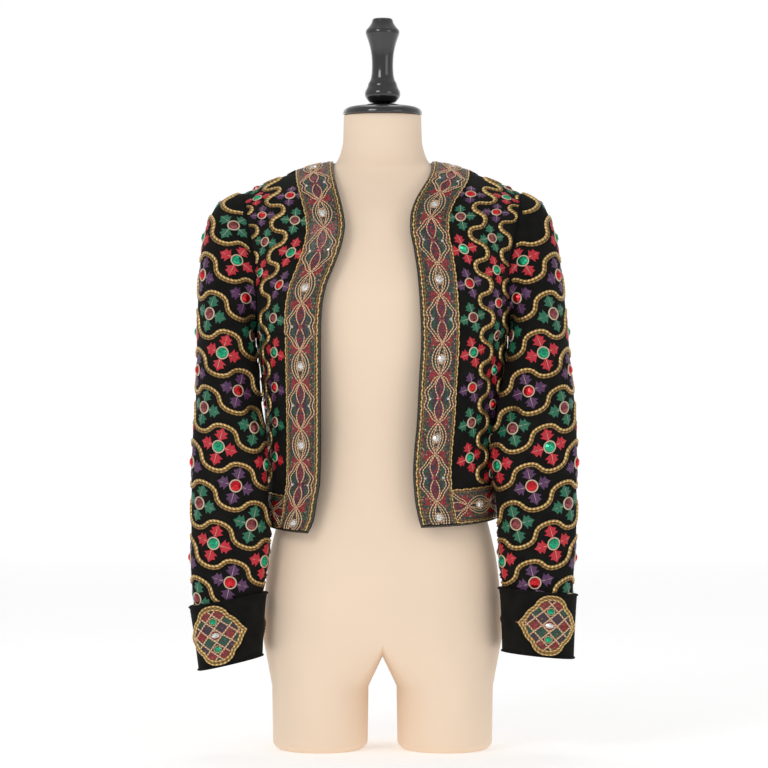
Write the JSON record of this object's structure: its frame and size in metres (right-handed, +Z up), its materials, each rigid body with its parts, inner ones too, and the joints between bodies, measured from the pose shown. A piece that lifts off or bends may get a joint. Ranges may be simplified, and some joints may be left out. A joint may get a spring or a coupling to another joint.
{
  "type": "matador jacket on dress form",
  "caption": "Short open velvet jacket with beaded bands, set-in sleeves and turned-back cuffs, on a limbless dress form with a turned finial",
  "frame": {"origin": "middle of the base, on the floor under the form's two flat stumps", "axes": "+Z is up, the open front faces -Y, +X is the wearer's left"},
  "size_m": [0.5279, 0.2456, 1],
  "materials": {
    "velvet": "black silk velvet with couched metal cord, silk petals and faceted stones",
    "band": "ground solid with glass beads and sequins, edged with cord",
    "medallion": "beaded quatrefoil applique",
    "calico": "smooth matt cream cotton cover",
    "lacquer": "turned wood in glossy black lacquer"
  },
  "bodies": {
    "root": {"back": "velvet", "front_right": "velvet", "front_left": "velvet", "sleeve_right": "velvet", "sleeve_left": "velvet", "cuff_right": "velvet", "cuff_left": "velvet", "border_front_right": "band", "border_front_left": "band", "border_back_hem": "band", "border_back_neck": "band", "medallion_right_outer": "medallion", "medallion_right_inner": "medallion", "medallion_left_outer": "medallion", "medallion_left_inner": "medallion", "form_torso": "calico", "neck_cap": "lacquer", "finial": "lacquer"}
  },
  "joints": []
}
